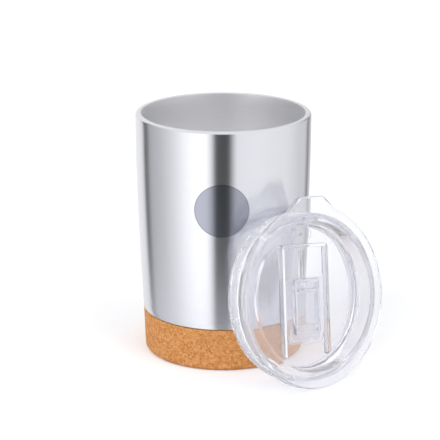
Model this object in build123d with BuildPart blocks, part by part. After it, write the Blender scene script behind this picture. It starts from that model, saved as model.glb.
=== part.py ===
"""Double-wall steel tumbler with a cork base and a clear press-in lid with a slider.

Millimetres.  The origin is on the tumbler's axis in the plane it stands on, +Z is up.
The lid is off the tumbler: it stands on the edge of its flange and leans back against
the wall on the -Y side.  The lid's pieces are made in the lid's own frame, where +Z
leaves the top of the lid and +Y points at the pull tab, and are then leaned in place.
"""

import os
from math import atan2, cos, radians, sin, sqrt, tan

from build123d import *

# ---- tumbler ----
rim_r = 42.5  # outside, at the mouth
rim_width = 2.9  # from the outside of the rim to the inside of the mouth
height = 119.0
seam_z = 21.3  # where the steel meets the cork
wall_taper = 3.1  # how much narrower the wall is at the seam than at the rim
wall_bulge = 0.75  # how far the wall stands out of the straight line from seam to rim
shell_wall = 0.6
liner_wall = 0.6
rim_round = 1.3
mouth_depth = 12.0  # of the straight lip that takes the lid
wall_space = 1.8  # between the shell's neck and the liner, at the height of the seam
liner_floor_z = 12.5
liner_corner_r = 9.0
weld_gap = 0.03  # between two welded or glued pieces
cap_flange = 4.0  # upturned edge of the bottom cap
cap_corner_r = 1.0

# ---- cork base ----
cork_wall = 3.0
cork_top_gap = 0.1  # shadow line between steel and cork
cork_taper = 0.7  # how much narrower the cork is at its foot
cork_edge_round = 2.2
foot_thick = 3.0

# ---- lid, in its own frame, top of the flange at z = 0 ----
flange_over = 0.5  # how far the flange stands out past the tumbler's rim
flange_thick = 3.0
flange_top_round = 1.1
flange_low_round = 0.5
tab_length = 4.1  # how far the pull tab stands out of the flange
tab_end_half = 7.4
tab_root_half = 17.6
tab_sink = 1.2  # how far the tab's root lies inside the flange's edge
tab_corner_r = 2.2
plug_depth = 17.0  # from the top of the flange to the end of the plug
plug_clear = 0.4  # between the plug and the mouth
recess_rim = 4.2  # from the plug's outside to the top edge of the recess
recess_draft = 1.6  # how much narrower the recess is at its floor
recess_edge_round = 0.7
recess_corner_r = 1.5
recess_depth = 9.5
floor_thick = 2.0
skirt_wall = 3.6
groove_top = 10.2
groove_height = 5.2
groove_depth = 1.6
gasket_squeeze = 0.4  # how far the gasket's lips stand out past the mouth's wall
gasket_gap = 0.05
lip_thick = 0.9
lip_root = 0.5  # how far the gasket's band stands out of its groove

# ---- slider channel on the lid's floor ----
channel_half = 12.6  # inside the rails
rail_thick = 1.8
rail_height = 3.1
rail_edge_round = 0.6
rail_end_gap = 0.3  # from the rails' ends to the edge of the flat floor
drink_half = 8.0
drink_length = 6.0
drink_rise = 11.0  # from the rails' low end to the middle of the drinking hole
vent_inset = 2.7  # from the edge of the flat floor to the vent
vent_r = 0.8
vent_pad = (12.0, 4.2, 0.8)
vent_space = 2.4  # from the vent's pad to the channel's end bar

# ---- slider ----
slider_side_gap = 0.3
slider_lift = 0.15  # between the slider and the lid's floor
slider_travel = 14.0
slider_end_gap = 0.4
plate_thick = 1.6
plate_edge_round = 0.4
tongue_over = 1.1  # how far the tongue reaches past the seal
tongue_half = 11.2
tongue_length = 4.3
tongue_round = 3.2
grip_half = 7.8
grip_inset = 0.3  # from the ends of the plate to the grip
grip_height = 2.0
grip_wall = 1.4
grip_dish = 1.5
grip_round = 1.2
ridge_inset = 5.2  # from the grip's upper end to the middle of the thumb ridge
ridge_rise = 1.3  # how far the ridge stands above the grip
stem_half = 0.9
stem_length = 6.0
stem_inset = 0.7  # from the end of the grip to the stem
stem_gap = 0.25
socket_depth = 1.2
clip_half = 10.8
clip_thick = 2.6
clip_wall = 1.3
clip_dish = 1.5
clip_round = 1.6
clip_gap = 0.8  # from the drinking hole to the clip
clip_drop = 0.2  # between the clip and the underside of the floor
seal_margin = 1.0  # silicone beyond the edge of the drinking hole
seal_thick = 0.8
seal_lift = 0.1
seal_round = 2.4

# ---- how the lid leans ----
lean = radians(12.94)
roll = radians(-8.0)
lean_gap = 0.25  # between the lid and the tumbler's wall

# ---- worked out from the values above ----
shell_top_z = height - rim_round
seam_r = rim_r - wall_taper
mouth_r = rim_r - rim_width
chord = sqrt((shell_top_z - seam_z) ** 2 + (rim_r - seam_r) ** 2)
neck_r = seam_r - cork_wall
liner_low_r = neck_r - shell_wall - wall_space - liner_wall
flange_r = rim_r + flange_over
tab_reach = flange_r + tab_length
tab_root_y = sqrt(flange_r**2 - tab_root_half**2) - tab_sink
plug_r = mouth_r - plug_clear
gasket_r = mouth_r + gasket_squeeze
groove_r = plug_r - groove_depth
skirt_r = plug_r - skirt_wall
recess_top_r = plug_r - recess_rim
recess_low_r = recess_top_r - recess_draft
flat_r = recess_low_r - recess_corner_r  # of the level part of the lid's floor
floor_top = -recess_depth
floor_under = floor_top - floor_thick
rail_outer = channel_half + rail_thick
vent_y = flat_r - vent_inset
channel_top_y = vent_y - vent_pad[1] / 2 - vent_space - rail_thick  # inside of the end bar
channel_low_y = rail_end_gap - sqrt(flat_r**2 - rail_outer**2)
drink_y = channel_low_y + drink_rise
plate_top_y = channel_top_y - slider_end_gap - slider_travel
tongue_low_y = drink_y - drink_length / 2 - seal_margin - tongue_over
plate_low_y = tongue_low_y + tongue_length
plate_length = plate_top_y - plate_low_y
grip_length = plate_length - 2 * grip_inset
grip_top_y = plate_top_y - grip_inset
seal_half = drink_half + seal_margin
seal_length = drink_length + 2 * seal_margin
stem_high_y = grip_top_y - stem_inset
# the stem stops short of the seal where the slider is too short for its full length
stem_low_y = max(stem_high_y - stem_length, drink_y + seal_length / 2 + stem_gap)
stem_y = (stem_low_y + stem_high_y) / 2
stem_run = stem_high_y - stem_low_y
clip_low_y = drink_y + drink_length / 2 + clip_gap
clip_length = grip_top_y - clip_low_y
slider_low = floor_top + slider_lift
plate_top = slider_low + plate_thick


def wall_radius(z):
    """Outside radius of the steel wall at a height."""
    share = (z - seam_z) / (shell_top_z - seam_z)
    return seam_r + (rim_r - seam_r) * share + wall_bulge * 4 * share * (1 - share)


def write(piece, label, place=Location()):
    """Label one finished piece and write it to its own file."""
    placed = piece.moved(place)
    placed.label = label
    export_step(placed, f"parts/{label}.step")


os.makedirs("parts", exist_ok=True)

# The lid's lean: its normal points out and up, its tab is rolled towards +X.
lid_normal = Vector(0, -cos(lean), sin(lean))
lid_upright = Vector(0, sin(lean), cos(lean))
lid_x = Vector(1, 0, 0) * cos(roll) + lid_upright * sin(roll)
# The flange's lower edge just reaches the ground.
lid_z = (
    (flange_r - flange_low_round) * cos(lean)
    + (flange_thick - flange_low_round) * sin(lean)
    + flange_low_round
)
# The end of the plug comes nearest to the wall, at the top of the leaning lid.
touch_z = lid_z - plug_depth * sin(lean) + plug_r * cos(lean)
lid_y = -(wall_radius(touch_z) + lean_gap + plug_depth * cos(lean) + plug_r * sin(lean))
lid_place = Plane(origin=(0, lid_y, lid_z), x_dir=lid_x, z_dir=lid_normal).location

# ---- outer shell: wall, rolled rim, and the narrower neck that the cork goes round ----
with BuildPart() as outer_shell:
    with BuildSketch(Plane.XZ):
        with BuildLine():
            mid = ((seam_r + rim_r) / 2, (seam_z + shell_top_z) / 2)
            outward = ((shell_top_z - seam_z) / chord, (seam_r - rim_r) / chord)
            bulge_point = (mid[0] + wall_bulge * outward[0], mid[1] + wall_bulge * outward[1])
            ThreePointArc((seam_r, seam_z), bulge_point, (rim_r, shell_top_z))
            RadiusArc((rim_r, shell_top_z), (rim_r - rim_round, height), -rim_round)
            lip_r = mouth_r + liner_wall + weld_gap
            neck_low_z = foot_thick + weld_gap
            Polyline(
                (rim_r - rim_round, height),
                (lip_r, height),
                (lip_r, height - shell_wall),
                (rim_r - rim_round, height - shell_wall),
            )
            RadiusArc(
                (rim_r - rim_round, height - shell_wall),
                (rim_r - shell_wall, shell_top_z),
                rim_round - shell_wall,
            )
            ThreePointArc(
                (rim_r - shell_wall, shell_top_z),
                (bulge_point[0] - shell_wall, bulge_point[1]),
                (seam_r - shell_wall, seam_z + shell_wall),
            )
            Polyline(
                (seam_r - shell_wall, seam_z + shell_wall),
                (neck_r - shell_wall, seam_z + shell_wall),
                (neck_r - shell_wall, neck_low_z),
                (neck_r, neck_low_z),
                (neck_r, seam_z),
                (seam_r, seam_z),
            )
        make_face()
    revolve(axis=Axis.Z)
write(outer_shell.part, "outer_shell")

# ---- inner liner: one drawn cup, straight at the mouth, with a rounded floor ----
with BuildPart() as inner_liner:
    lip_low_z = height - mouth_depth
    for wall, mode in ((liner_wall, Mode.ADD), (0.0, Mode.SUBTRACT)):
        with BuildSketch(Plane.XZ):
            with BuildLine():
                Polyline(
                    (0, height),
                    (mouth_r + wall, height),
                    (mouth_r + wall, lip_low_z),
                    (liner_low_r + wall, seam_z),
                )
                Line(
                    (liner_low_r + wall, seam_z),
                    (liner_low_r + wall, liner_floor_z + liner_corner_r),
                )
                RadiusArc(
                    (liner_low_r + wall, liner_floor_z + liner_corner_r),
                    (liner_low_r - liner_corner_r, liner_floor_z - wall),
                    liner_corner_r + wall,
                )
                Polyline(
                    (liner_low_r - liner_corner_r, liner_floor_z - wall),
                    (0, liner_floor_z - wall),
                    (0, height),
                )
            make_face()
        revolve(axis=Axis.Z, mode=mode)
    fillet(inner_liner.edges().group_by(Axis.Z)[-1].sort_by(SortBy.LENGTH)[0], liner_wall / 2)
write(inner_liner.part, "inner_liner")

# ---- bottom cap: a shallow dish pushed up into the neck and welded there ----
with BuildPart() as bottom_cap:
    cap_r = neck_r - shell_wall - weld_gap
    cap_z = foot_thick + weld_gap
    with BuildSketch(Plane.XY.offset(cap_z)):
        Circle(cap_r)
    extrude(amount=cap_flange)
    fillet(bottom_cap.edges().group_by(Axis.Z)[0], cap_corner_r)
    offset(amount=-shell_wall, openings=bottom_cap.faces().sort_by(Axis.Z)[-1])
write(bottom_cap.part, "bottom_cap")

# ---- cork sleeve: glued round the neck, its foot edge well rounded ----
with BuildPart() as cork_sleeve:
    sleeve_top_z = seam_z - cork_top_gap
    with BuildSketch(Plane.XZ) as sleeve_outline:
        with BuildLine():
            Polyline(
                (neck_r + weld_gap, 0),
                (seam_r - cork_taper, 0),
                (seam_r, sleeve_top_z),
                (neck_r + weld_gap, sleeve_top_z),
                close=True,
            )
        make_face()
        fillet(sleeve_outline.vertices().group_by(Axis.Y)[0].sort_by(Axis.X)[-1], cork_edge_round)
    revolve(axis=Axis.Z)
write(cork_sleeve.part, "cork_sleeve")

# ---- cork foot: the disc under the bottom cap that the tumbler stands on ----
with BuildPart() as cork_foot:
    with BuildSketch():
        Circle(neck_r)
    extrude(amount=foot_thick)
write(cork_foot.part, "cork_foot")

# ---- lid body ----
with BuildPart() as lid_body:
    # the flange, with the pull tab at one side
    with BuildSketch(Plane.XY.offset(-flange_thick)) as flange_outline:
        Circle(flange_r)
        with BuildLine():
            Polyline(
                (-tab_root_half, tab_root_y),
                (-tab_end_half, tab_reach),
                (tab_end_half, tab_reach),
                (tab_root_half, tab_root_y),
                close=True,
            )
        make_face()
        fillet(flange_outline.vertices().group_by(Axis.Y)[-1], tab_corner_r)
    extrude(amount=flange_thick)
    fillet(lid_body.faces().sort_by(Axis.Z)[-1].edges(), flange_top_round)
    fillet(lid_body.faces().sort_by(Axis.Z)[0].edges(), flange_low_round)
    # the plug, with the gasket's groove
    with BuildSketch(Plane.XY.offset(-plug_depth)):
        Circle(plug_r)
    extrude(amount=plug_depth - flange_thick)
    fillet(lid_body.edges().group_by(Axis.Z)[0], flange_low_round)
    with BuildSketch(Plane.XY.offset(-groove_top)):
        Circle(flange_r)
        Circle(groove_r, mode=Mode.SUBTRACT)
    extrude(amount=-groove_height, mode=Mode.SUBTRACT)
    # the dished recess in the top, its upper edge rolled over
    wall_lean = atan2(recess_draft, recess_depth)
    roll_reach = recess_edge_round * tan((radians(90) - wall_lean) / 2)
    with BuildSketch(Plane.XZ) as recess_outline:
        with BuildLine():
            Polyline(
                (recess_top_r + roll_reach, 0),
                (0, 0),
                (0, floor_top),
                (recess_low_r, floor_top),
                (recess_top_r - roll_reach * sin(wall_lean), -roll_reach * cos(wall_lean)),
            )
            RadiusArc(
                (recess_top_r - roll_reach * sin(wall_lean), -roll_reach * cos(wall_lean)),
                (recess_top_r + roll_reach, 0),
                recess_edge_round,
            )
        make_face()
        fillet(recess_outline.vertices().group_by(Axis.Y)[0].sort_by(Axis.X)[-1], recess_corner_r)
    revolve(axis=Axis.Z, mode=Mode.SUBTRACT)
    # the hollow under the floor
    with BuildSketch(Plane.XY.offset(-plug_depth)):
        Circle(skirt_r)
    extrude(amount=floor_under + plug_depth, mode=Mode.SUBTRACT)
    # the channel's rails and their end bar
    with BuildSketch(Plane.XY.offset(floor_top)):
        with Locations((0, (channel_low_y + channel_top_y + rail_thick) / 2)):
            RectangleRounded(2 * rail_outer, channel_top_y + rail_thick - channel_low_y, rail_thick)
        with Locations((0, channel_top_y - (channel_top_y - channel_low_y + rail_thick) / 2)):
            Rectangle(
                2 * channel_half, channel_top_y - channel_low_y + rail_thick, mode=Mode.SUBTRACT
            )
    extrude(amount=rail_height)
    rail_tops = lid_body.faces().filter_by_position(
        Axis.Z, floor_top + rail_height - 0.01, floor_top + rail_height + 0.01
    )
    fillet(rail_tops.edges(), rail_edge_round)
    # the vent, in its low pad
    with BuildSketch(Plane.XY.offset(floor_top)):
        with Locations((0, vent_y)):
            RectangleRounded(vent_pad[0], vent_pad[1], vent_pad[1] / 3)
    extrude(amount=vent_pad[2])
    with BuildSketch(Plane.XY.offset(floor_under)):
        with Locations((0, vent_y)):
            Circle(vent_r)
        with Locations((0, drink_y)):
            SlotOverall(2 * drink_half, drink_length)
        slot_low_y = stem_low_y - stem_gap
        slot_high_y = stem_high_y + slider_travel + stem_gap
        with Locations((0, (slot_low_y + slot_high_y) / 2)):
            Rectangle(2 * (stem_half + stem_gap), slot_high_y - slot_low_y)
    extrude(amount=floor_thick + vent_pad[2], mode=Mode.SUBTRACT)
write(lid_body.part, "lid_body", lid_place)

# ---- lid gasket: a silicone band with two lips, in the plug's groove ----
with BuildPart() as lid_gasket:
    band_low = -groove_top - groove_height + gasket_gap
    band_high = -groove_top - gasket_gap
    band_r = plug_r + lip_root
    with BuildSketch(Plane.XZ):
        with BuildLine():
            Polyline(
                (groove_r + gasket_gap, band_low),
                (plug_r, band_low),
                (gasket_r, band_low + lip_thick),
                (band_r, band_low + 2 * lip_thick),
                (plug_r, (band_low + band_high) / 2),
                (gasket_r, band_high - 2 * lip_thick),
                (band_r, band_high - lip_thick),
                (plug_r, band_high),
                (groove_r + gasket_gap, band_high),
                close=True,
            )
        make_face()
    revolve(axis=Axis.Z)
write(lid_gasket.part, "lid_gasket", lid_place)

# ---- slider: a plate in the channel with an open tray for the thumb on it ----
with BuildPart() as slider:
    with BuildSketch(Plane.XY.offset(slider_low)):
        with Locations((0, (plate_top_y + plate_low_y) / 2)):
            Rectangle(2 * (channel_half - slider_side_gap), plate_length)
        with Locations((0, tongue_low_y + tongue_length)):
            RectangleRounded(2 * tongue_half, 2 * tongue_length, tongue_round)
    extrude(amount=plate_thick)
    fillet(slider.faces().sort_by(Axis.Z)[-1].edges(), plate_edge_round)
    with BuildSketch(Plane.XY.offset(plate_top)):
        with Locations((0, grip_top_y - grip_length / 2)):
            RectangleRounded(2 * grip_half, grip_length, grip_round)
    extrude(amount=grip_height)
    fillet(slider.faces().sort_by(Axis.Z)[-1].edges(), grip_round / 2)
    # the tray is open at the top, with a thumb ridge across it
    with BuildSketch(Plane.XY.offset(plate_top + grip_height)):
        with Locations((0, grip_top_y - grip_length / 2)):
            RectangleRounded(
                2 * (grip_half - grip_wall), grip_length - 2 * grip_wall, grip_round
            )
    extrude(amount=-grip_dish, mode=Mode.SUBTRACT)
    with BuildSketch(Plane.XY.offset(plate_top + grip_height - grip_dish)):
        with Locations((0, grip_top_y - ridge_inset)):
            Rectangle(2 * (grip_half - grip_wall), grip_wall)
    extrude(amount=grip_dish + ridge_rise)
    fillet(slider.faces().sort_by(Axis.Z)[-1].edges(), grip_wall / 3)
    # the pocket for the seal and the socket for the stem, in the underside
    with BuildSketch(Plane.XY.offset(slider_low)):
        with Locations((0, drink_y)):
            RectangleRounded(
                2 * (seal_half + gasket_gap), seal_length + 2 * gasket_gap, seal_round
            )
    extrude(amount=seal_thick, mode=Mode.SUBTRACT)
    with BuildSketch(Plane.XY.offset(slider_low)):
        with Locations((0, stem_y)):
            Rectangle(2 * (stem_half + weld_gap), stem_run + 2 * weld_gap)
    extrude(amount=socket_depth, mode=Mode.SUBTRACT)
write(slider.part, "slider", lid_place)

# ---- slider clip: the stem through the floor's slot, and the bar that holds it in ----
with BuildPart() as slider_clip:
    clip_top = floor_under - clip_drop
    with BuildSketch(Plane.XY.offset(clip_top - clip_thick)):
        with Locations((0, clip_low_y + clip_length / 2)):
            RectangleRounded(2 * clip_half, clip_length, clip_round)
    extrude(amount=clip_thick)
    with BuildSketch(Plane.XY.offset(clip_top - clip_thick)):
        with Locations((0, clip_low_y + clip_length / 2)):
            RectangleRounded(
                2 * (clip_half - clip_wall), clip_length - 2 * clip_wall, clip_round / 2
            )
    extrude(amount=clip_dish, mode=Mode.SUBTRACT)
    with BuildSketch(Plane.XY.offset(clip_top)):
        with Locations((0, stem_y)):
            Rectangle(2 * stem_half, stem_run)
    extrude(amount=slider_low + socket_depth - weld_gap - clip_top)
write(slider_clip.part, "slider_clip", lid_place)

# ---- slider seal: the silicone pad that closes the drinking hole ----
with BuildPart() as slider_seal:
    with BuildSketch(Plane.XY.offset(floor_top + seal_lift)):
        with Locations((0, drink_y)):
            RectangleRounded(2 * seal_half, seal_length, seal_round)
    extrude(amount=slider_lift - seal_lift + seal_thick - gasket_gap)
write(slider_seal.part, "slider_seal", lid_place)

print(f"lid centre y {lid_y:.2f} z {lid_z:.2f}, mouth radius {mouth_r}, plug radius {plug_r}")
print(f"lid normal {lid_normal}, slider axis {lid_normal.cross(lid_x)}")
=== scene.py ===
# %% [markdown]
# # A steel tumbler with a cork foot, and its clear lid
# The tumbler is two drawn steel cups, one inside the other, with a band of agglomerated cork glued
# round the narrowed foot.  Its lid is moulded in clear copolyester, with a silicone gasket and a
# sliding closure, and it leans against the wall.  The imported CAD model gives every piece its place.
# This file gives each piece its finish, and a smooth shape where the CAD facets would show.

# %% Load the frame
import math

import bmesh
import bpy
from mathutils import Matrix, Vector


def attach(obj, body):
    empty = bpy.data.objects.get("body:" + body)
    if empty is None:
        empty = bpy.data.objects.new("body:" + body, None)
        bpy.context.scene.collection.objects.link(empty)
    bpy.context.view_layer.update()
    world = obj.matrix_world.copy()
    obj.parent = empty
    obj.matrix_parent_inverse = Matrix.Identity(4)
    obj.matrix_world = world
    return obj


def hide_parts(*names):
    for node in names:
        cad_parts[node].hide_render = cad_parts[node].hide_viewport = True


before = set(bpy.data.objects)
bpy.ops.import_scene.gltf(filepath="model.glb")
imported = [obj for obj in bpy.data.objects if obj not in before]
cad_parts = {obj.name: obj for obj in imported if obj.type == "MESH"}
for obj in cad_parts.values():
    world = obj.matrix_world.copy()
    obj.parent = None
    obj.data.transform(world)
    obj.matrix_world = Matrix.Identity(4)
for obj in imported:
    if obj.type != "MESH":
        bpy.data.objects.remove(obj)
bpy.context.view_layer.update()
scene = bpy.context.scene

# %% [markdown]
# ## Sizes
# Blender works in metres, in the same place as the CAD model.  Smooth copies and finishes repeat a
# few of the CAD sizes.  Those that several pieces share are named here: the wall's radii, the seam
# where the steel meets the cork, and the thickness of the steel.

# %% Name the shared sizes
MM = 0.001
RIM_R = 42.5 * MM
HEIGHT = 119.0 * MM
SEAM_R = 39.4 * MM
SEAM_Z = 21.3 * MM
NECK_R = 36.4 * MM
MOUTH_R = 39.6 * MM
STEEL = 0.6 * MM
WELD_GAP = 0.03 * MM
print("rim radius", RIM_R, "height", HEIGHT, "seam height", SEAM_Z)

# %% [markdown]
# ## The camera
# A product is usually shown through a long lens, which keeps upright walls nearly parallel.  This
# one stands about 0.9 m away and a little above the rim, so that the inside shows.  It is turned so
# that the leaning lid comes to the right of the tumbler.

# %% Set the camera
CAMERA_REACH = 0.845
CAMERA_HEIGHT = 0.321
CAMERA_TURN = math.radians(39.84)
CAMERA_PITCH = math.radians(16.90)
CAMERA_AIM = math.radians(-0.11)
SENSOR = 36.0
LENS = 147.1909


def put(name, data):
    """An object with this data, in the scene."""
    obj = bpy.data.objects.new(name, data)
    scene.collection.objects.link(obj)
    return obj


camera_data = bpy.data.cameras.new("camera")
camera_data.sensor_width = SENSOR
camera_data.lens = LENS
camera = put("camera", camera_data)
camera.location = (
    -CAMERA_REACH * math.sin(CAMERA_TURN),
    -CAMERA_REACH * math.cos(CAMERA_TURN),
    CAMERA_HEIGHT,
)
camera.rotation_euler = (math.pi / 2 - CAMERA_PITCH, 0, -CAMERA_TURN - CAMERA_AIM)
scene.camera = camera
print("lens", round(camera_data.lens, 1), "mm")

# %% [markdown]
# ## Helpers for materials
# Colours are written as sRGB hex values, as on a paint chart, and one function turns them to the
# linear values that shaders work in.  A shader is a tree of nodes joined by links.  Written out,
# each setting and each link takes a line, so one function adds a node with all of its own.

# %% Turn colours to linear
def linear(hex_colour):
    """A colour written as sRGB hex, in linear values with alpha."""
    channels = [int(hex_colour[i : i + 2], 16) / 255 for i in (1, 3, 5)]
    curved = [c / 12.92 if c <= 0.04045 else ((c + 0.055) / 1.055) ** 2.4 for c in channels]
    return curved + [1.0]


def grey(level):
    """A linear grey with alpha."""
    return [level] * 3 + [1.0]


print("mid grey", [round(c, 3) for c in linear("#808080")])


# %% Add a node
def add(tree, kind, settings=None, stops=(), **inputs):
    """Add a node with its settings and links.

    An input is named by its socket, or as in0, in1 and so on by its place.  It holds a value, a
    socket to link, or a node whose first output is linked.  stops are a colour ramp's rows.  A Mix
    node keeps a set of sockets for each kind of value, so one that mixes colours goes by place:
    in0 is its factor, in6 and in7 are its colours, and its result is outputs[2].
    """
    node = tree.nodes.new(kind)
    for key, value in (settings or {}).items():
        setattr(node, key, value)
    for key, value in inputs.items():
        by_place = key.startswith("in") and key[2:].isdigit()
        socket = node.inputs[int(key[2:]) if by_place else key.replace("_", " ")]
        if isinstance(value, bpy.types.Node):
            value = value.outputs[0]
        if isinstance(value, bpy.types.NodeSocket):
            tree.links.new(value, socket)
        else:
            socket.default_value = value
    if stops:
        elements = node.color_ramp.elements
        while len(elements) < len(stops):
            elements.new(0.5)
        for element, (place, colour) in zip(elements, stops):
            element.position = place
            element.color = colour
    return node


def new_material(name):
    """An empty node material, and its tree."""
    material = bpy.data.materials.new(name)
    material.use_nodes = True
    material.node_tree.nodes.clear()
    return material, material.node_tree


print("made", add.__name__, "and", new_material.__name__)

# %% [markdown]
# ## Kinds of rays
# The Light Path node tells a shader what kind of ray is asking.  Is Glossy Ray is also set on a ray
# that clear plastic bends, so a ray that a surface truly mirrors is a glossy one that isn't a
# transmitted one.  A ray that looks straight at a thing comes from the camera or through plastic.

# %% Tell rays apart
def mirrored_rays(tree, path):
    """1 for a ray that a shiny surface mirrors."""
    return add(
        tree, "ShaderNodeMath", {"operation": "SUBTRACT", "use_clamp": True},
        in0=path["Is Glossy Ray"], in1=path["Is Transmission Ray"],
    )


def looking_rays(tree, path):
    """1 for a ray from the camera, straight or through clear plastic."""
    return add(
        tree, "ShaderNodeMath", {"operation": "MAXIMUM"},
        in0=path["Is Camera Ray"], in1=path["Is Transmission Ray"],
    )


print("made", mirrored_rays.__name__, "and", looking_rays.__name__)

# %% [markdown]
# ## The studio
# Satin steel shows the room more than itself, so the room matters.  It could be built of real light
# panels, but a drawing of it in the world is quicker to render and easier to adjust.  Here it is a
# ring of soft panels, drawn as brightness against compass direction, with a dark gap where the
# camera stands, and a soft box overhead.  Only mirrored rays see it.  The soft box is strong for
# light that goes on into the cup, and mild where the rim mirrors it, so that the rim keeps its
# shading.

# %% Draw the ring of panels
CEILING_FACE = 1.1
CEILING_FILL = 4.0
CEILING_FROM = 0.3
CEILING_FULL = 0.75
FIRST_BOUNCE = 1.5  # a glossy depth over this has bounced more than once
RING_TOP = 2.0  # a ramp's colours stay between 0 and 1, so they hold shares of this brightness
RING_PANELS = (  # degrees round from the camera, to its right; brightness
    (-180, 0.98),
    (-140, 1.06),
    (-131, 0.90),
    (-125, 0.16),
    (-119, 0.20),
    (-112, 0.56),
    (-88, 0.74),
    (-70, 0.98),
    (-50, 1.36),
    (-36, 1.54),
    (-22, 1.52),
    (-15, 0.95),
    (-10, 0.10),
    (7, 0.09),
    (12, 0.60),
    (17, 1.10),
    (45, 1.14),
    (90, 1.06),
    (118, 0.84),
    (136, 0.80),
    (146, 0.22),
    (153, 0.60),
    (180, 0.98),
)


def room_brightness(tree, heading, depth):
    """Brightness of the room along a heading, for a ray of this glossy depth."""
    split = add(tree, "ShaderNodeSeparateXYZ", Vector=heading).outputs
    compass = add(tree, "ShaderNodeMath", {"operation": "ARCTAN2"}, in0=split["X"], in1=split["Y"])
    turn = add(tree, "ShaderNodeMath", {"operation": "SUBTRACT"}, in0=CAMERA_TURN, in1=compass)
    share = add(tree, "ShaderNodeMath", {"operation": "DIVIDE"}, in0=turn, in1=2 * math.pi)
    wrapped = add(tree, "ShaderNodeMath", {"operation": "FRACT"}, in0=share)
    rows = [((degrees + 180) / 360, grey(level / RING_TOP)) for degrees, level in RING_PANELS]
    stored = add(tree, "ShaderNodeValToRGB", stops=rows, Fac=wrapped)
    ring = add(tree, "ShaderNodeMath", {"operation": "MULTIPLY"}, in0=stored, in1=RING_TOP)
    above = add(
        tree, "ShaderNodeMapRange", {"interpolation_type": "SMOOTHSTEP"},
        Value=split["Z"], From_Min=CEILING_FROM, From_Max=CEILING_FULL,
    )
    onward = add(tree, "ShaderNodeMath", {"operation": "GREATER_THAN"}, in0=depth, in1=FIRST_BOUNCE)
    ceiling = add(
        tree, "ShaderNodeMix", {"data_type": "FLOAT"},
        Factor=onward, A=CEILING_FACE, B=CEILING_FILL,
    )
    return add(tree, "ShaderNodeMix", {"data_type": "FLOAT"}, Factor=above, A=ring, B=ceiling)


print("ring of", len(RING_PANELS), "stops")

# %% [markdown]
# ## The world
# The world gives the soft even light of a white tent, and the white behind everything.  One colour
# for all rays would leave the steel blank, so mirrored rays see the room that is drawn above.
# Clear plastic needs many bounces, because light crosses the lid's walls, the slider and its clip
# before it comes out, and would otherwise be lost in them.

# %% Set the world
WORLD_DIFFUSE = 0.88
WHITE = 1.0

world = bpy.data.worlds.new("studio")
world.use_nodes = True
tree = world.node_tree
tree.nodes.clear()
heading = add(tree, "ShaderNodeTexCoord").outputs["Generated"]
path = add(tree, "ShaderNodeLightPath").outputs
room = room_brightness(tree, heading, path["Glossy Depth"])
plain = add(
    tree, "ShaderNodeMix", {"data_type": "FLOAT"},
    Factor=looking_rays(tree, path), A=WORLD_DIFFUSE, B=WHITE,
)
strength = add(
    tree, "ShaderNodeMix", {"data_type": "FLOAT"},
    Factor=mirrored_rays(tree, path), A=plain, B=room,
)
background = add(tree, "ShaderNodeBackground", Color=grey(WHITE), Strength=strength)
add(tree, "ShaderNodeOutputWorld", Surface=background)
scene.world = world
scene.view_settings.view_transform = "Standard"
scene.cycles.max_bounces = 20
scene.cycles.glossy_bounces = 14
scene.cycles.transmission_bounces = 16
print("world of", len(tree.nodes), "nodes")

# %% [markdown]
# ## The floor
# The floor is a sweep of white paper.  A plain white plane turns grey away from the lamps, so a
# faint glow, seen only by looking rays, lifts it to the white behind it and leaves the shadow.  The
# glow grows with distance.  For mirrored rays the paper opens as they land further out, and the
# steel sees the ring of panels through it, as it would see panels that reach down to the table.

# %% Lay the floor
FLOOR_HALF = 6.0

floor_mesh = bpy.data.meshes.new("floor")
corners = [(-1, -1), (1, -1), (1, 1), (-1, 1)]
floor_points = [(x * FLOOR_HALF, y * FLOOR_HALF, 0) for x, y in corners]
floor_mesh.from_pydata(floor_points, [], [(0, 1, 2, 3)])
floor = put("floor", floor_mesh)
print("floor", 2 * FLOOR_HALF, "m across")

# %% Colour the floor: matt white paper
GLOW_NEAR = 0.3
GLOW_FAR = 1.5
FLOOR_LIFT = 0.15
FLOOR_FAR_LIFT = 0.4
OPEN_REACH = 0.4
FLOOR_OPENING = (  # share of OPEN_REACH; how far the paper has opened
    (0.2, 0.62),
    (0.33, 0.80),
    (0.45, 0.94),
    (0.65, 0.98),
    (1.0, 1.0),
)

material, tree = new_material("white_paper_sweep")
path = add(tree, "ShaderNodeLightPath").outputs
where = add(tree, "ShaderNodeTexCoord").outputs["Object"]
away = add(tree, "ShaderNodeVectorMath", {"operation": "LENGTH"}, in0=where).outputs["Value"]
grow = add(
    tree, "ShaderNodeMapRange",
    Value=away, From_Min=GLOW_NEAR, From_Max=GLOW_FAR, To_Min=FLOOR_LIFT, To_Max=FLOOR_FAR_LIFT,
)
lift = add(
    tree, "ShaderNodeMath", {"operation": "MULTIPLY"}, in0=looking_rays(tree, path), in1=grow,
)
paper = add(tree, "ShaderNodeBsdfDiffuse", Color=linear("#E7E8EA"))
glow = add(tree, "ShaderNodeEmission", Strength=lift)
lit = add(tree, "ShaderNodeAddShader", in0=paper, in1=glow)
share = add(tree, "ShaderNodeMath", {"operation": "DIVIDE"}, in0=away, in1=OPEN_REACH)
rows = [(place, grey(level)) for place, level in FLOOR_OPENING]
opening = add(tree, "ShaderNodeValToRGB", stops=rows, Fac=share)
through = add(
    tree, "ShaderNodeMath", {"operation": "MULTIPLY"}, in0=mirrored_rays(tree, path), in1=opening,
)
gap = add(tree, "ShaderNodeBsdfTransparent")
choice = add(tree, "ShaderNodeMixShader", Fac=through, in1=lit, in2=gap)
add(tree, "ShaderNodeOutputMaterial", Surface=choice)
floor_mesh.materials.append(material)
print(material.name, len(tree.nodes), "nodes")

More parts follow.
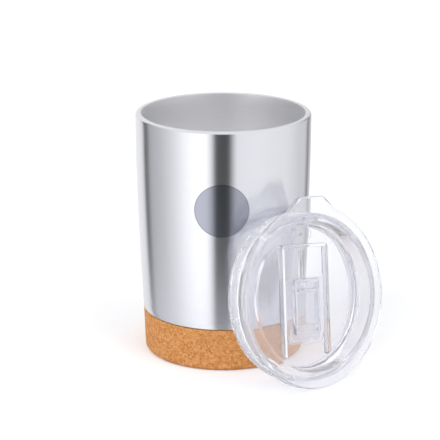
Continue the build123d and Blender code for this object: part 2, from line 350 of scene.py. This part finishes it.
# %% [markdown]
# ## The lamps
# Two wide soft lamps shape the cork, the paper and the shadow.  A sun would be simpler, but its
# shadow has a hard edge.  The steel doesn't see the lamps, because their square images would cut
# across the soft strips of the ring.

# %% Hang the lamps
LAMP_AIM = Vector((0, 0, 60 * MM))


def lamp(name, turn_degrees, elevation_degrees, reach, size, power):
    """A square soft lamp that looks at the object; metal is left to the ring of panels."""
    data = bpy.data.lights.new(name, "AREA")
    data.shape = "SQUARE"
    data.size = size
    data.energy = power
    obj = put(name, data)
    turn = CAMERA_TURN - math.radians(turn_degrees)
    rise = math.radians(elevation_degrees)
    obj.location = (
        -reach * math.cos(rise) * math.sin(turn),
        -reach * math.cos(rise) * math.cos(turn),
        reach * math.sin(rise),
    )
    obj.rotation_euler = (LAMP_AIM - obj.location).to_track_quat("-Z", "Y").to_euler()
    obj.visible_camera = False
    obj.visible_glossy = False
    print(name, power, "W, at", [round(place, 2) for place in obj.location])


lamp("key_lamp", turn_degrees=-50, elevation_degrees=45, reach=1.6, size=1.0, power=9.0)
lamp("fill_lamp", turn_degrees=50, elevation_degrees=35, reach=1.8, size=1.2, power=10.0)

# %% [markdown]
# ## Turned pieces
# The shell, the liner and the cork band are figures of revolution.  A Screw modifier would turn an
# outline too, but brushed metal needs a UV map whose scale is known.  So a small lathe is written
# here: an outline of radius and height, with true arcs, is turned in many fine steps, and the UV
# map runs in real metres round the piece and along the outline.

# %% Draw outlines
def arc(centre, radius, start, end, steps):
    """Points of an arc in the outline's plane, angles in degrees, counted from outwards."""
    points = []
    for i in range(steps + 1):
        angle = math.radians(start + (end - start) * i / steps)
        points.append((centre[0] + radius * math.cos(angle), centre[1] + radius * math.sin(angle)))
    return points


def fine(points, longest):
    """The same outline with its long runs cut into shorter ones."""
    cut = [points[0]]
    for (r0, z0), (r1, z1) in zip(points, points[1:]):
        steps = max(1, math.ceil(math.hypot(r1 - r0, z1 - z0) / longest))
        shares = [i / steps for i in range(1, steps + 1)]
        cut += [(r0 + (r1 - r0) * share, z0 + (z1 - z0) * share) for share in shares]
    return cut


print("a quarter turn of an arc has", len(arc((0, 0), 1, 0, 90, 8)), "points in 8 steps")

# %% Turn them on a lathe
TURN_STEPS = 288
ON_AXIS = 1e-7


def turned(name, outline, smooth_degrees):
    """A closed solid of revolution from an outline; ends on the axis become poles."""
    closed = outline[0][0] > ON_AXIS
    loop = outline + [outline[0]] if closed else outline
    lengths = [0.0]
    for (r0, z0), (r1, z1) in zip(loop, loop[1:]):
        lengths.append(lengths[-1] + math.hypot(r1 - r0, z1 - z0))
    shape = bmesh.new()
    angles = [2 * math.pi * i / TURN_STEPS for i in range(TURN_STEPS)]
    rings = []
    for r, z in outline:
        if r <= ON_AXIS:
            rings.append([shape.verts.new((0, 0, z))] * TURN_STEPS)
        else:
            points = [(r * math.cos(angle), r * math.sin(angle), z) for angle in angles]
            rings.append([shape.verts.new(point) for point in points])
    if closed:
        rings.append(rings[0])
    join_rings(shape, rings, lengths)
    mesh = bpy.data.meshes.new(name)
    shape.to_mesh(mesh)
    shape.free()
    mesh.shade_smooth()
    mesh.set_sharp_from_angle(angle=math.radians(smooth_degrees))
    print(name, len(mesh.polygons), "faces")
    return put(name, mesh)


def join_rings(shape, rings, lengths):
    """Faces between neighbouring rings, with a UV map in metres; a pole gives triangles."""
    uv = shape.loops.layers.uv.new("UVMap")
    for k, (low, high) in enumerate(zip(rings, rings[1:])):
        for i in range(TURN_STEPS):
            j = (i + 1) % TURN_STEPS
            corners = {}
            for corner, step, row in (
                (low[i], i, k), (low[j], i + 1, k), (high[j], i + 1, k + 1), (high[i], i, k + 1),
            ):
                corners.setdefault(corner, (step, row))
            face = shape.faces.new(list(corners))
            for corner, (step, row) in zip(face.loops, corners.values()):
                corner[uv].uv = (step / TURN_STEPS * 2 * math.pi * RIM_R, lengths[row])
    bmesh.ops.recalc_face_normals(shape, faces=shape.faces)


print("each ring has", TURN_STEPS, "points")

# %% [markdown]
# ## The outer shell
# The shell is drawn from sheet steel.  Its wall widens towards the rim with a slight belly, which a
# straight line between two radii would miss, so the wall is a shallow curve.  The rim is rolled
# over and welded to the liner, and at the foot the wall steps in to a neck for the cork.

# %% Turn the outer shell
RIM_ROUND = 1.3 * MM
WALL_BULGE = 0.75 * MM
WALL_STEPS = 28
NECK_LOW_Z = 3.03 * MM
SEAM_EDGE = 0.2 * MM
RUN = 4 * MM
SHARP_DEGREES = 35


def wall_radius(z):
    """Outside radius of the steel wall at a height."""
    share = (z - SEAM_Z) / (HEIGHT - RIM_ROUND - SEAM_Z)
    return SEAM_R + (RIM_R - SEAM_R) * share + WALL_BULGE * 4 * share * (1 - share)


def shell_outline():
    """Up the outside from the seam, over the rolled rim, down the inside, round the neck."""
    top = HEIGHT - RIM_ROUND
    lip_r = MOUTH_R + STEEL + WELD_GAP
    low_in, low_out = SEAM_Z + STEEL, SEAM_Z + SEAM_EDGE
    shares = [i / WALL_STEPS for i in range(WALL_STEPS + 1)]
    inner = [low_in + (top - low_in) * share for share in shares]
    outer = [low_out + (top - low_out) * share for share in shares]
    outline = [(NECK_R, NECK_LOW_Z), (NECK_R, SEAM_Z)]
    outline += arc((wall_radius(SEAM_Z) - SEAM_EDGE, low_out), SEAM_EDGE, -90, 0, 4)[:-1]
    outline += [(wall_radius(z), z) for z in outer]
    outline += arc((RIM_R - RIM_ROUND, top), RIM_ROUND, 0, 90, 10)[1:]
    outline += [(lip_r, HEIGHT), (lip_r, HEIGHT - STEEL)]
    outline += arc((RIM_R - RIM_ROUND, top), RIM_ROUND - STEEL, 90, 0, 5)
    outline += [(wall_radius(z) - STEEL, z) for z in reversed(inner[:-1])]
    outline += [(NECK_R - STEEL, SEAM_Z + STEEL), (NECK_R - STEEL, NECK_LOW_Z)]
    return outline


outer_shell = turned("tumbler_shell", fine(shell_outline(), RUN), SHARP_DEGREES)
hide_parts("outer_shell")
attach(outer_shell, "tumbler")

# %% [markdown]
# ## The inner liner
# The liner is the cup that holds the drink: straight at the mouth, where the lid's gasket seals,
# then tapered to a rounded floor.  It is turned as one closed skin with its real thickness, because
# a single surface would have no edge at the rim.

# %% Turn the inner liner
MOUTH_DEPTH = 12.0 * MM
LINER_LOW_R = 33.4 * MM
LINER_FLOOR_Z = 12.5 * MM
LINER_CORNER_R = 9.0 * MM


def liner_outline():
    """From the middle of the inside floor, up to the mouth, and down the hidden side."""
    lip_low = HEIGHT - MOUTH_DEPTH
    corner = (LINER_LOW_R - LINER_CORNER_R, LINER_FLOOR_Z + LINER_CORNER_R)
    edge = STEEL / 2
    outline = [(0, LINER_FLOOR_Z)]
    outline += arc(corner, LINER_CORNER_R, -90, 0, 14)
    outline += [(MOUTH_R, lip_low), (MOUTH_R, HEIGHT - edge)]
    outline += arc((MOUTH_R + edge, HEIGHT - edge), edge, 180, 90, 5)[1:]
    outline += [(MOUTH_R + STEEL, HEIGHT), (MOUTH_R + STEEL, lip_low)]
    outline += arc(corner, LINER_CORNER_R + STEEL, 0, -90, 14)
    outline += [(0, LINER_FLOOR_Z - STEEL)]
    return outline


inner_liner = turned("tumbler_liner", fine(liner_outline(), RUN), SHARP_DEGREES)
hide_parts("inner_liner")
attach(inner_liner, "tumbler")

# %% [markdown]
# ## Clear moulded pieces
# The lid, the slider and its clip, and the two silicone pieces keep the CAD shape.  The CAD mesh is
# loose triangles, which clear plastic would show as facets.  Each piece could be modelled again,
# but the shape is right already.  So it is copied, its points are joined, flat faces are merged,
# and its shading is made smooth across everything but real edges.  A Weighted Normal modifier
# keeps large flat faces flat up to their rounded edges.

# %% Copy the moulded pieces smoothly
SAME_POINT = 0.001 * MM
FLAT_DEGREES = 0.2
MOULDED_SHARP_DEGREES = 30


def smooth_copy(node, name, body):
    """A welded, smoothly shaded copy of a CAD node that stands for it."""
    shape = bmesh.new()
    shape.from_mesh(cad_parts[node].data)
    bmesh.ops.remove_doubles(shape, verts=shape.verts, dist=SAME_POINT)
    bmesh.ops.dissolve_limit(
        shape, angle_limit=math.radians(FLAT_DEGREES), verts=shape.verts, edges=shape.edges,
    )
    mesh = bpy.data.meshes.new(name)
    shape.to_mesh(mesh)
    shape.free()
    mesh.materials.clear()
    mesh.shade_smooth()
    mesh.set_sharp_from_angle(angle=math.radians(MOULDED_SHARP_DEGREES))
    obj = put(name, mesh)
    weighted = obj.modifiers.new("weighted", "WEIGHTED_NORMAL")
    weighted.keep_sharp = True
    weighted.mode = "FACE_AREA"
    make_plain(obj)
    print(name, len(obj.data.polygons), "faces")
    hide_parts(node)
    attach(obj, body)
    return obj


def make_plain(obj):
    """Turn what an object's modifiers make into its own plain mesh."""
    evaluated = obj.evaluated_get(bpy.context.evaluated_depsgraph_get())
    mesh = bpy.data.meshes.new_from_object(evaluated)
    obj.modifiers.clear()
    obj.data = mesh


lid_body = smooth_copy("lid_body", "clear_lid", "lid")
slider = smooth_copy("slider", "clear_slider", "slider")
slider_clip = smooth_copy("slider_clip", "clear_slider_clip", "slider")
lid_gasket = smooth_copy("lid_gasket", "silicone_gasket", "lid")
slider_seal = smooth_copy("slider_seal", "silicone_seal", "slider")

# %% [markdown]
# ## Cork: the finish
# Agglomerated cork is ground bark pressed with a binder, then sanded.  The eye sees fine chips in
# several warm browns, a few darker flecks of outer bark, and open pores that keep it quite matt.  A
# Voronoi texture gives every chip one colour of its own, which a noise could only blur.  Noise adds
# the grain inside the chips and the shallow pores.  The patterns read Object coordinates, so they
# run through the band and the foot disc as they do in one block.

# %% Cork: agglomerated, fine-ground, sanded
CHIP = 0.9 * MM
FLECK = 0.7 * MM
FLECKS_FROM = 0.95  # one fleck in twenty is dark
CORK_GRAIN = MM / 2.2  # just under half a millimetre
PORE_DEPTH = 0.08 * MM
CORK_BROWNS = ((0.0, "#B97338"), (0.25, "#C78445"), (0.6, "#D09052"), (1.0, "#DCA266"))
CORK_SHADE = ((0.3, 0.82), (0.7, 1.08))
CORK_ROUGHNESS = 0.78
BARK = "#AE7440"


def cork_material():
    """Sanded agglomerated cork: mixed brown chips, dark flecks, open pores."""
    material, tree = new_material("agglomerated_cork_sanded")
    where = add(tree, "ShaderNodeTexCoord").outputs["Object"]
    chips = add(tree, "ShaderNodeTexVoronoi", Vector=where, Scale=1 / CHIP).outputs["Color"]
    tone = add(tree, "ShaderNodeSeparateColor", Color=chips)
    rows = [(place, linear(brown)) for place, brown in CORK_BROWNS]
    browns = add(tree, "ShaderNodeValToRGB", stops=rows, Fac=tone)
    grain = add(
        tree, "ShaderNodeTexNoise", Vector=where, Scale=1 / CORK_GRAIN, Detail=4.0, Roughness=0.7,
    )
    rows = [(place, grey(level)) for place, level in CORK_SHADE]
    shade = add(tree, "ShaderNodeValToRGB", stops=rows, Fac=grain)
    mixed = add(
        tree, "ShaderNodeMix", {"data_type": "RGBA", "blend_type": "MULTIPLY"},
        in0=1.0, in6=browns, in7=shade,
    )
    flecks = add(tree, "ShaderNodeTexVoronoi", Vector=where, Scale=1 / FLECK).outputs["Color"]
    dark = add(tree, "ShaderNodeSeparateColor", Color=flecks).outputs["Green"]
    few = add(tree, "ShaderNodeMath", {"operation": "GREATER_THAN"}, in0=dark, in1=FLECKS_FROM)
    spotted = add(
        tree, "ShaderNodeMix", {"data_type": "RGBA"},
        in0=few, in6=mixed.outputs[2], in7=linear(BARK),
    )
    bump = add(tree, "ShaderNodeBump", Strength=0.5, Distance=PORE_DEPTH, Height=grain)
    surface = add(
        tree, "ShaderNodeBsdfPrincipled",
        Base_Color=spotted.outputs[2], Roughness=CORK_ROUGHNESS, Normal=bump,
    )
    add(tree, "ShaderNodeOutputMaterial", Surface=surface)
    print(material.name, len(tree.nodes), "nodes")
    return material


cork = cork_material()
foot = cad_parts["cork_foot"]
foot.data.materials.clear()
foot.data.materials.append(cork)

# %% [markdown]
# ## Cork: the band
# The band is a thick ring glued round the neck, a little narrower at the foot, with a large round
# edge that it stands on.  Its surface isn't true: sanding leaves each chip a few hundredths of a
# millimetre high or low.  Bump alone would leave the outline perfectly smooth, so the band is
# turned in half-millimetre steps, and Geometry Nodes sink each chip by its own amount.

# %% Grow the chips
CORK_SEED = 7.0
CORK_RELIEF = 0.05 * MM


def grow_chips(obj, material):
    """Give a cork surface its chips: each sinks by its own amount, up to the relief."""
    tree = bpy.data.node_groups.new("cork_chips", "GeometryNodeTree")
    face = tree.interface
    face.new_socket("Geometry", in_out="INPUT", socket_type="NodeSocketGeometry")
    sizes = {"Chip Size": CHIP, "Relief": CORK_RELIEF, "Seed": CORK_SEED}
    sockets = {}
    for key in sizes:
        sockets[key] = face.new_socket(key, in_out="INPUT", socket_type="NodeSocketFloat")
    face.new_socket("Geometry", in_out="OUTPUT", socket_type="NodeSocketGeometry")
    given = add(tree, "NodeGroupInput").outputs
    where = add(tree, "GeometryNodeInputPosition")
    scale = add(tree, "ShaderNodeMath", {"operation": "DIVIDE"}, in0=1.0, in1=given["Chip Size"])
    cells = add(
        tree, "ShaderNodeTexVoronoi", {"voronoi_dimensions": "4D"},
        Vector=where, W=given["Seed"], Scale=scale,
    )
    height = add(tree, "FunctionNodeSeparateColor", Color=cells.outputs["Color"])
    depth = add(tree, "ShaderNodeMath", {"operation": "SUBTRACT"}, in0=height, in1=1.0)
    amount = add(tree, "ShaderNodeMath", {"operation": "MULTIPLY"}, in0=depth, in1=given["Relief"])
    normal = add(tree, "GeometryNodeInputNormal")
    push = add(tree, "ShaderNodeVectorMath", {"operation": "SCALE"}, in0=normal, Scale=amount)
    moved = add(tree, "GeometryNodeSetPosition", Geometry=given["Geometry"], Offset=push)
    real = add(tree, "GeometryNodeRealizeInstances", Geometry=moved)
    finish = add(tree, "GeometryNodeSetMaterial", Geometry=real, Material=material)
    add(tree, "NodeGroupOutput", Geometry=finish)
    modifier = obj.modifiers.new("chips", "NODES")
    modifier.node_group = tree
    for key, value in sizes.items():
        modifier[sockets[key].identifier] = value
    make_plain(obj)
    print(obj.name, len(obj.data.polygons), "faces with chips")


# %% Turn the cork band
CORK_TOP = SEAM_Z - 0.45 * MM
CORK_TOP_EDGE = 0.4 * MM
CORK_TAPER = 0.7 * MM
CORK_EDGE = 2.2 * MM
CORK_RUN = 0.5 * MM
CORK_SHARP_DEGREES = 60


def cork_outline():
    """Round the cork band's section, starting inside at the top."""
    foot_r = SEAM_R - CORK_TAPER + CORK_RELIEF
    top_centre = (SEAM_R - CORK_TOP_EDGE, CORK_TOP - CORK_TOP_EDGE)
    outline = [(NECK_R + WELD_GAP, CORK_TOP), (NECK_R + WELD_GAP, 0)]
    outline += arc((foot_r - CORK_EDGE, CORK_EDGE), CORK_EDGE, -90, 0, 8)
    outline += arc(top_centre, CORK_TOP_EDGE, 0, 90, 3)
    return outline


cork_band = turned("cork_band", fine(cork_outline(), CORK_RUN), CORK_SHARP_DEGREES)
grow_chips(cork_band, cork)
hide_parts("cork_sleeve")
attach(cork_band, "tumbler")

# %% [markdown]
# ## Steel
# The shell is stainless steel, brushed while it turns.  The scratches run round the wall, so they
# spread reflections along the axis into tall soft strips, and the eye reads that as brushed metal.
# An anisotropic shader gives that spread, and the UV map gives it its direction.  Noise stretched
# along the scratches gives the lines themselves.  Real ones are some hundredths of a millimetre
# wide and wouldn't show, so they are drawn about 0.2 mm wide.  The liner is drawn and not brushed:
# a wide even blur with only a slight spread, so that it looks like a soft grey satin.
#
# On the front, a laser has darkened a plain disc.  Its oxide is a blue grey, a touch more matt,
# with a darker line at its edge.  The disc is measured from the piece's own coordinates, and needs
# no image.

# %% Mark out the darkened disc
BADGE_R = 12.9 * MM
BADGE_Z = 81.2 * MM
BADGE_LINE = 0.3 * MM
BADGE_TURN = CAMERA_TURN + math.radians(1.0)
BADGE_MATT = 0.02
BADGE_GREYS = ((0.0, linear("#9EA0AC")), (1.0, linear("#7E7F8A")))  # the disc, its edge line


def disc_mask(tree, where):
    """1 on the disc, and the disc's colour."""
    across = Vector((math.cos(BADGE_TURN), -math.sin(BADGE_TURN), 0))
    outward = Vector((-math.sin(BADGE_TURN), -math.cos(BADGE_TURN), 0))
    dot = {"operation": "DOT_PRODUCT"}
    side = add(tree, "ShaderNodeVectorMath", dot, in0=where, in1=across).outputs["Value"]
    front = add(tree, "ShaderNodeVectorMath", dot, in0=where, in1=outward).outputs["Value"]
    rise = add(tree, "ShaderNodeSeparateXYZ", Vector=where).outputs["Z"]
    above = add(tree, "ShaderNodeMath", {"operation": "SUBTRACT"}, in0=rise, in1=BADGE_Z)
    flat = add(tree, "ShaderNodeCombineXYZ", X=side, Y=above)
    reach = add(tree, "ShaderNodeVectorMath", {"operation": "LENGTH"}, in0=flat).outputs["Value"]
    inside = add(tree, "ShaderNodeMath", {"operation": "LESS_THAN"}, in0=reach, in1=BADGE_R)
    facing = add(tree, "ShaderNodeMath", {"operation": "GREATER_THAN"}, in0=front, in1=0.0)
    mask = add(tree, "ShaderNodeMath", {"operation": "MULTIPLY"}, in0=inside, in1=facing)
    edge = add(
        tree, "ShaderNodeMath", {"operation": "GREATER_THAN"},
        in0=reach, in1=BADGE_R - BADGE_LINE,
    )
    return mask, add(tree, "ShaderNodeValToRGB", stops=BADGE_GREYS, Fac=edge)


print("disc", 2 * BADGE_R, "m across")

# %% Steel: stainless, brushed round the axis
BRUSH_LENGTH = MM / 0.06  # about 17 mm
BRUSH_WIDTH = MM / 5.2  # about 0.2 mm
BRUSH_DEPTH = 0.01 * MM
BRUSH_SHADE = ((0.25, grey(0.93)), (0.75, grey(1.0)))
ROUGHNESS_SPAN = 0.03


def steel_material(name, tint, roughness, spread, badge):
    """Stainless steel with fine brushing round the axis; badge adds the darkened disc."""
    material, tree = new_material(name)
    where = add(tree, "ShaderNodeTexCoord").outputs
    stretch = add(
        tree, "ShaderNodeMapping",
        Vector=where["UV"], Scale=(1 / BRUSH_LENGTH, 1 / BRUSH_WIDTH, 1.0),
    )
    lines = add(tree, "ShaderNodeTexNoise", Vector=stretch, Scale=1.0, Detail=3.0, Roughness=0.6)
    tone = add(tree, "ShaderNodeValToRGB", stops=BRUSH_SHADE, Fac=lines)
    base = add(
        tree, "ShaderNodeMix", {"data_type": "RGBA", "blend_type": "MULTIPLY"},
        in0=1.0, in6=linear(tint), in7=tone,
    )
    rough = add(
        tree, "ShaderNodeMapRange", Value=lines,
        To_Min=roughness - ROUGHNESS_SPAN, To_Max=roughness + ROUGHNESS_SPAN,
    )
    if badge:
        mask, disc = disc_mask(tree, where["Object"])
        base = add(
            tree, "ShaderNodeMix", {"data_type": "RGBA"}, in0=mask, in6=base.outputs[2], in7=disc,
        )
        rough = add(
            tree, "ShaderNodeMath", {"operation": "MULTIPLY_ADD"},
            in0=mask, in1=BADGE_MATT, in2=rough,
        )
    tangent = add(tree, "ShaderNodeTangent", {"direction_type": "UV_MAP", "uv_map": "UVMap"})
    bump = add(tree, "ShaderNodeBump", Strength=0.15, Distance=BRUSH_DEPTH, Height=lines)
    surface = add(
        tree, "ShaderNodeBsdfPrincipled",
        Base_Color=base.outputs[2], Metallic=1.0, Roughness=rough, Anisotropic=spread,
        Anisotropic_Rotation=0.25, Normal=bump, Tangent=tangent,
    )
    add(tree, "ShaderNodeOutputMaterial", Surface=surface)
    print(name, len(tree.nodes), "nodes")
    return material


brushed = steel_material(
    "stainless_steel_brushed", "#DCDDE3", roughness=0.19, spread=0.75, badge=True,
)
satin = steel_material(
    "stainless_steel_satin_drawn", "#E2E2E4", roughness=0.45, spread=0.3, badge=False,
)
outer_shell.data.materials.append(brushed)
inner_liner.data.materials.append(satin)

# %% [markdown]
# ## The hidden cap
# The cap that closes the double wall underneath is left as it was drawn from the sheet: a soft
# cloudy grey, with no brushing.  Little of it is ever seen, so it keeps its CAD shape, and only its
# material is new.

# %% Steel: stainless, plain drawn
CLOUD = MM / 0.9  # about 1 mm
CLOUD_GREYS = ((0.3, linear("#B9B9BE")), (0.7, linear("#C9C9CE")))
CAP_ROUGHNESS = 0.35

cap_steel, tree = new_material("stainless_steel_plain_drawn")
where = add(tree, "ShaderNodeTexCoord").outputs["Object"]
clouds = add(tree, "ShaderNodeTexNoise", Vector=where, Scale=1 / CLOUD, Detail=3.0)
tone = add(tree, "ShaderNodeValToRGB", stops=CLOUD_GREYS, Fac=clouds)
surface = add(
    tree, "ShaderNodeBsdfPrincipled", Base_Color=tone, Metallic=1.0, Roughness=CAP_ROUGHNESS,
)
add(tree, "ShaderNodeOutputMaterial", Surface=surface)
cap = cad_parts["bottom_cap"]
cap.data.materials.clear()
cap.data.materials.append(cap_steel)
print(cap_steel.name, len(tree.nodes), "nodes")

# %% [markdown]
# ## Clear plastic and silicone
# Copolyester moulds almost as clear as glass, with a gloss from the polished mould and a faint
# waviness where the plastic flowed.  It bends what is behind it, so its edges and rails show as
# bright and dark lines.  Silicone is softer to the eye: milky, and nearly matt.  Both have a little
# haze, which is the share of the light that the plastic scatters and doesn't pass.  A true shadow
# of clear plastic takes very many samples, so lamps pass straight through.  The brushed steel would
# mirror the lid much darker than clear plastic looks, because a mirrored ray that is bent on its
# way rarely finds the light, so most of such rays pass straight through too.

# %% Plastic: copolyester and silicone, moulded
FLOW = MM / 0.14  # waves about 7 mm long
FLOW_DEPTH = 0.05 * MM
OUTSIDE = 0.5  # a transmission depth under this hasn't gone into the plastic yet
FAINTNESS = 0.85


def clear_material(name, tint, roughness, ior, haze):
    """Clear moulded plastic; it bends what is behind it and lets lamps through."""
    material, tree = new_material(name)
    where = add(tree, "ShaderNodeTexCoord").outputs["Object"]
    flow = add(tree, "ShaderNodeTexNoise", Vector=where, Scale=1 / FLOW, Detail=2.0)
    rough = add(
        tree, "ShaderNodeMapRange",
        Value=flow, To_Min=roughness * 0.5, To_Max=roughness * 1.5,
    )
    bump = add(tree, "ShaderNodeBump", Strength=0.08, Distance=FLOW_DEPTH, Height=flow)
    surface = add(
        tree, "ShaderNodeBsdfPrincipled",
        Base_Color=linear(tint), Roughness=rough, IOR=ior, Transmission_Weight=1.0 - haze,
        Normal=bump,
    )
    path = add(tree, "ShaderNodeLightPath").outputs
    outside = add(
        tree, "ShaderNodeMath", {"operation": "LESS_THAN"},
        in0=path["Transmission Depth"], in1=OUTSIDE,
    )
    seen = add(
        tree, "ShaderNodeMath", {"operation": "MULTIPLY"},
        in0=mirrored_rays(tree, path), in1=outside,
    )
    faint = add(tree, "ShaderNodeMath", {"operation": "MULTIPLY"}, in0=seen, in1=FAINTNESS)
    share = add(
        tree, "ShaderNodeMath", {"operation": "MAXIMUM"}, in0=path["Is Shadow Ray"], in1=faint,
    )
    through = add(tree, "ShaderNodeBsdfTransparent", Color=linear("#F4F4F6"))
    choice = add(tree, "ShaderNodeMixShader", Fac=share, in1=surface, in2=through)
    add(tree, "ShaderNodeOutputMaterial", Surface=choice)
    print(name, len(tree.nodes), "nodes")
    return material


clear_plastic = clear_material(
    "copolyester_clear_moulded", "#F1F1F5", roughness=0.02, ior=1.54, haze=0.12,
)
clear_silicone = clear_material(
    "silicone_translucent_moulded", "#EDEEF2", roughness=0.3, ior=1.41, haze=0.25,
)
for piece in (lid_body, slider, slider_clip):
    piece.data.materials.append(clear_plastic)
for piece in (lid_gasket, slider_seal):
    piece.data.materials.append(clear_silicone)
